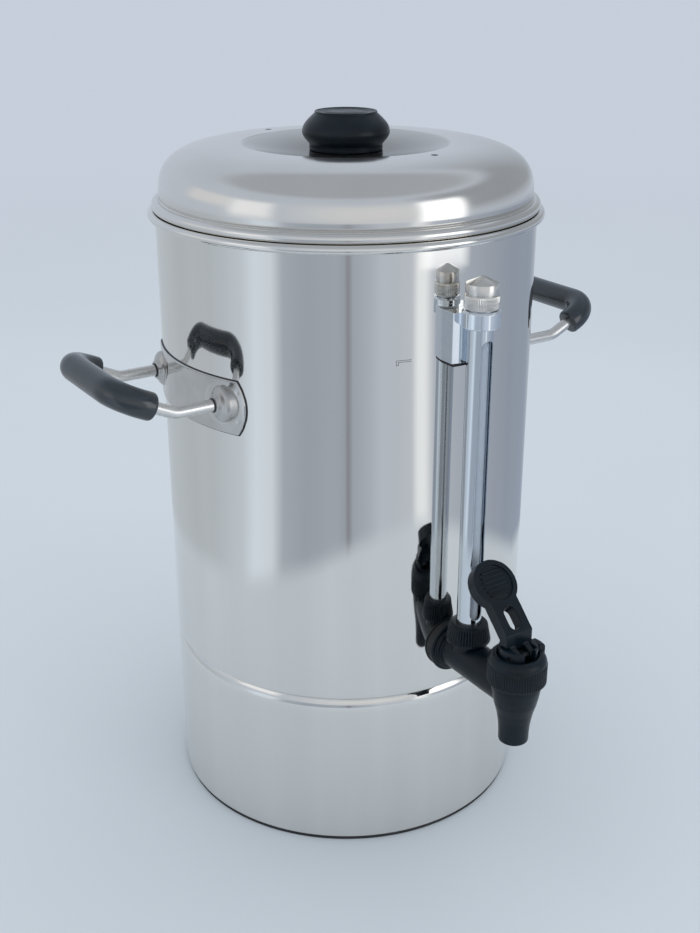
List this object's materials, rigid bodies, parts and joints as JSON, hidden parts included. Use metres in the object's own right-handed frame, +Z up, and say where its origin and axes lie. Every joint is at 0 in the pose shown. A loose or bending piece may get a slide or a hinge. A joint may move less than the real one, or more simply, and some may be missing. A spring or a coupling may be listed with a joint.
{
  "type": "hot water urn",
  "caption": "Steel hot water urn: round tank on a heater base, lift-off lid with knob, side handles, sprung lever tap and a level gauge standing on the tap.",
  "frame": {"origin": "on the tank's axis, in the plane that the foot ring stands on", "axes": "+Z up, the tap faces -Y, the handles lie on +X and -X"},
  "size_m": [0.3518, 0.3087, 0.4302],
  "materials": {
    "polished_steel": "mirror polished stainless sheet",
    "plain_steel": "plain mill finish",
    "chrome": "bright chrome plate",
    "nickel": "nickel plated brass, satin",
    "element_alloy": "dull alloy sheath",
    "brass": "plain brass",
    "black_plastic": "satin black",
    "grip_plastic": "semi gloss black",
    "black_rubber": "matt black",
    "red_silicone": "matt",
    "clear_silicone": "milky, matt",
    "gauge_glass": "clear tube",
    "white_nylon": "satin off-white",
    "brown_phenolic": "moulded",
    "black_phenolic": "moulded",
    "red_plastic": "gloss",
    "lamp_lens": "translucent, gloss",
    "wire_brown": "insulated wire",
    "wire_blue": "insulated wire",
    "wire_green": "insulated wire"
  },
  "bodies": {
    "urn": {"tank_shell": "polished_steel", "tank_floor": "plain_steel", "base_ring": "polished_steel", "base_plate": "plain_steel", "foot_ring": "black_rubber", "base_screws": "plain_steel", "heating_element": "element_alloy", "element_seals": "red_silicone", "element_nuts": "brass", "thermostat": "brown_phenolic", "thermal_cutout": "black_phenolic", "earth_stud": "brass", "power_inlet": "black_plastic", "inlet_pins": "brass", "switch_frame": "black_plastic", "indicator_lamp": "lamp_lens", "live_wires": "wire_brown", "neutral_wires": "wire_blue", "earth_wire": "wire_green", "handle_plate_left": "polished_steel", "handle_plate_right": "polished_steel", "handle_rod_left": "chrome", "handle_rod_right": "chrome", "handle_grip_left": "grip_plastic", "handle_grip_right": "grip_plastic", "gauge_bracket": "chrome", "bracket_pad": "black_rubber", "bracket_screw": "plain_steel", "screw_seal": "black_rubber", "gauge_shield": "chrome", "gauge_glass": "gauge_glass", "gauge_seal": "black_rubber", "gauge_nut": "black_plastic", "tap_body": "black_plastic", "tap_spout": "black_plastic", "tap_seal_outer": "black_rubber", "tap_seal_inner": "black_rubber", "tap_lock_nut": "white_nylon", "tap_bonnet": "black_plastic", "tap_guide": "black_plastic", "lever_pin": "plain_steel"},
    "lid": {"lid_shell": "polished_steel", "lid_knob": "black_plastic", "knob_screw": "plain_steel", "knob_washer": "plain_steel"},
    "lever": {"tap_lever": "black_plastic"},
    "stem": {"tap_stem": "white_nylon", "seat_cup": "clear_silicone", "tap_spring": "plain_steel"},
    "rocker": {"switch_rocker": "red_plastic"},
    "reset": {"reset_button": "red_plastic"},
    "cap": {"gauge_cap": "nickel"}
  },
  "joints": [
    {"name": "lid_lift", "type": "slide", "parent": "urn", "child": "lid", "axis": [0, 0, 1], "range_m": [0, 0.12]},
    {"name": "lever_pull", "type": "hinge", "parent": "urn", "child": "lever", "pos_m": [0, -0.1789, 0.15615], "axis": [1, 0, 0], "range_deg": [0, 50], "stiffness_Nm_per_rad": 0.03, "springref_deg": -34.38},
    {"name": "stem_lift", "type": "slide", "parent": "urn", "child": "stem", "axis": [0, 0, 1], "range_m": [0, 0.00391], "deforming": ["tap_spring"]},
    {"name": "rocker_tip", "type": "hinge", "parent": "urn", "child": "rocker", "pos_m": [-0.04572, 0.10268, 0.0418], "axis": [0, 0, 1], "range_deg": [-18, 0]},
    {"name": "reset_press", "type": "slide", "parent": "urn", "child": "reset", "axis": [0, 0, 1], "range_m": [0, 0.001], "stiffness_N_per_m": 500},
    {"name": "cap_turn", "type": "hinge", "parent": "urn", "child": "cap", "pos_m": [0, -0.1305, 0.35], "axis": [0, 0, 1], "continuous": true}
  ],
  "couplings": [
    {"joint": "stem_lift", "follows": "lever_pull", "m_per_rad": 0.0044712}
  ]
}
